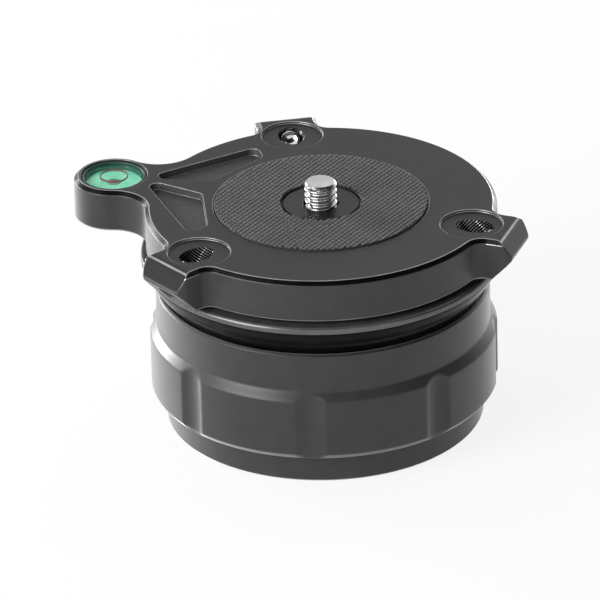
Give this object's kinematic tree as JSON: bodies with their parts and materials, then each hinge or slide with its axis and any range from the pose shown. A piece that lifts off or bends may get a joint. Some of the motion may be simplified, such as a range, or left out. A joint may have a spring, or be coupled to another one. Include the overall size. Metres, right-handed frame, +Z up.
{
  "type": "tripod leveling head",
  "caption": "Leveling head: a half ball tilts a round platform with a bull's eye level, camera stud and set screws; a fluted ring turn locks it on its threaded base.",
  "frame": {"origin": "centre of the base's bottom face, on the tripod thread's axis", "axes": "+Z up out of the platform, -Y towards the picture's camera; the arm with the level points to 160 degrees from +X about +Z"},
  "size_m": [0.0889, 0.0769, 0.0497],
  "materials": {
    "anodised_black": "satin black anodised aluminium",
    "anodised_gloss": "polished black anodised aluminium",
    "aluminium_bare": "turned aluminium",
    "stainless": "bright stainless steel",
    "steel_black": "black oxide steel",
    "steel_spring": "spring steel",
    "rubber_grey": "dark grey rubber with a raised diamond pattern",
    "acetal_white": "self-lubricating plastic",
    "vial_green": "moulded plastic",
    "fluid_green": "clear green fluid",
    "bubble_air": "air bubble",
    "target_red": "red printed circle",
    "acrylic_clear": "clear acrylic"
  },
  "bodies": {
    "base": {"base_cup": "anodised_black", "tripod_bushing": "stainless", "column": "aluminium_bare", "column_screw_1": "steel_black", "column_screw_2": "steel_black", "column_screw_3": "steel_black", "dome_bolt": "steel_black", "spring_washer_1": "steel_spring", "spring_washer_2": "steel_spring", "key_pin_1": "stainless", "key_pin_2": "stainless", "key_pin_3": "stainless", "stop_pin": "stainless"},
    "seat": {"seat_ring": "aluminium_bare", "seat_liner": "acetal_white", "glide_washer": "acetal_white"},
    "lock": {"lock_ring": "anodised_black"},
    "dome": {"hold_down_dome": "stainless"},
    "dish": {"friction_dish": "acetal_white"},
    "head": {"half_ball": "anodised_gloss", "platform": "anodised_black", "friction_pad": "rubber_grey", "stud_bushing": "anodised_black", "bushing_nut": "steel_black", "camera_stud": "stainless", "level_cup": "vial_green", "level_fluid": "fluid_green", "level_bubble": "bubble_air", "level_lens": "acrylic_clear", "level_ring": "target_red"},
    "grub_1": {"set_screw_1": "stainless"},
    "grub_2": {"set_screw_2": "stainless"},
    "grub_3": {"set_screw_3": "stainless"}
  },
  "joints": [
    {"name": "seat_lift", "type": "slide", "parent": "base", "child": "seat", "axis": [0, 0, 1], "range_m": [-0.000375, 0]},
    {"name": "lock_turn", "type": "hinge", "parent": "seat", "child": "lock", "pos_m": [0, 0, 0.017], "axis": [0, 0, 1], "range_deg": [-90, 0]},
    {"name": "tilt_direction", "type": "hinge", "parent": "base", "child": "dome", "pos_m": [0, 0, 0.053], "axis": [0, 0, 1], "continuous": true},
    {"name": "tilt", "type": "hinge", "parent": "dome", "child": "dish", "pos_m": [0, 0, 0.053], "axis": [1, 0, 0], "range_deg": [-12, 12]},
    {"name": "pan", "type": "hinge", "parent": "dish", "child": "head", "pos_m": [0, 0, 0.053], "axis": [0, 0, 1], "continuous": true},
    {"name": "grub_1_travel", "type": "slide", "parent": "head", "child": "grub_1", "axis": [0.5417, 0.4545, 0.7071], "range_m": [-0.0017, 0.0038]},
    {"name": "grub_2_travel", "type": "slide", "parent": "head", "child": "grub_2", "axis": [-0.6645, 0.2418, 0.7071], "range_m": [-0.0017, 0.0038]},
    {"name": "grub_3_travel", "type": "slide", "parent": "head", "child": "grub_3", "axis": [0.1228, -0.6964, 0.7071], "range_m": [-0.0017, 0.0038]}
  ],
  "couplings": [
    {"joint": "seat_lift", "follows": "lock_turn", "m_per_rad": 0.00023873}
  ]
}
